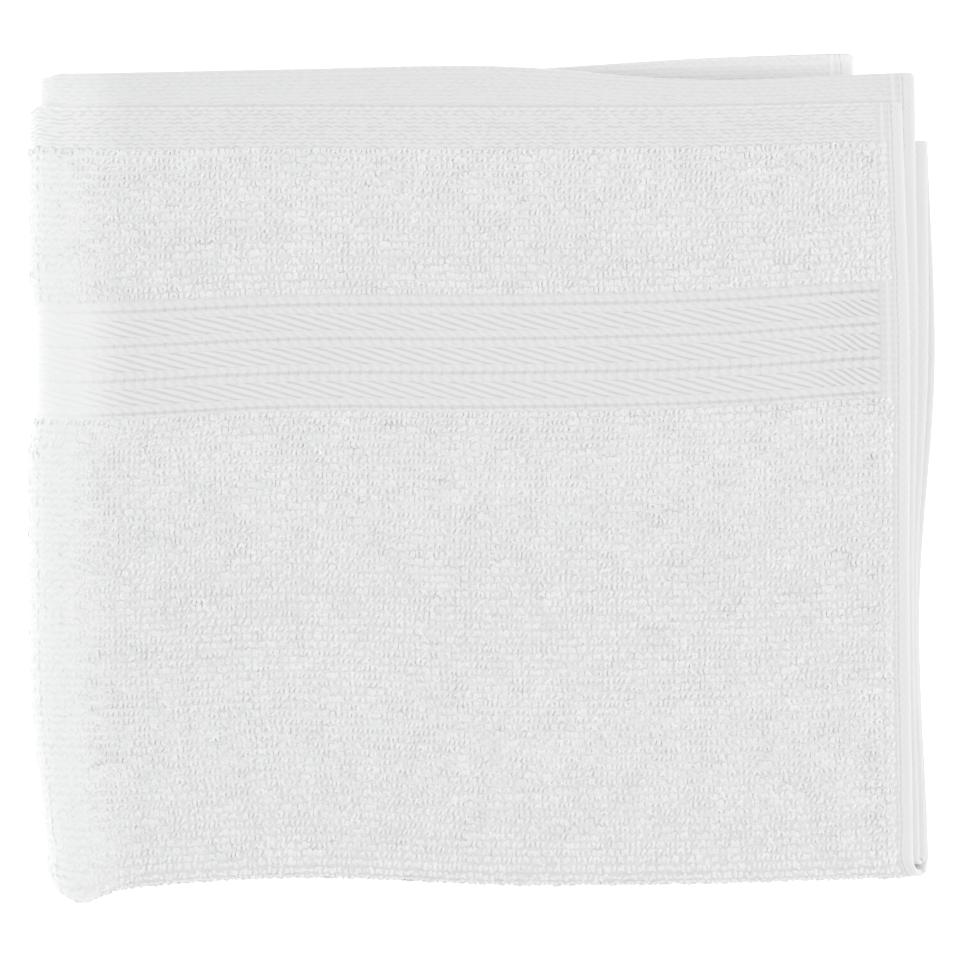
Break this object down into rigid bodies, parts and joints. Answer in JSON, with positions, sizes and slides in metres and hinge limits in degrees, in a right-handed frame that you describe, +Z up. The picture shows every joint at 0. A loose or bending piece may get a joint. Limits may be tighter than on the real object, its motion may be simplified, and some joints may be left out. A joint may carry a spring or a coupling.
{
  "type": "folded hand towel",
  "caption": "White cotton terry hand towel, folded into a flat rectangular stack, with flat woven hems and herringbone borders.",
  "frame": {"origin": "centre of the folded towel's footprint, on the surface it rests on", "axes": "+Z up, through the layers of cloth; +Y towards the hemmed ends; -X towards the last fold, the spine; +X towards the selvages"},
  "size_m": [0.2642, 0.2448, 0.0265],
  "materials": {
    "cotton": "matte"
  },
  "bodies": {
    "root": {"towel": "cotton"}
  },
  "joints": []
}
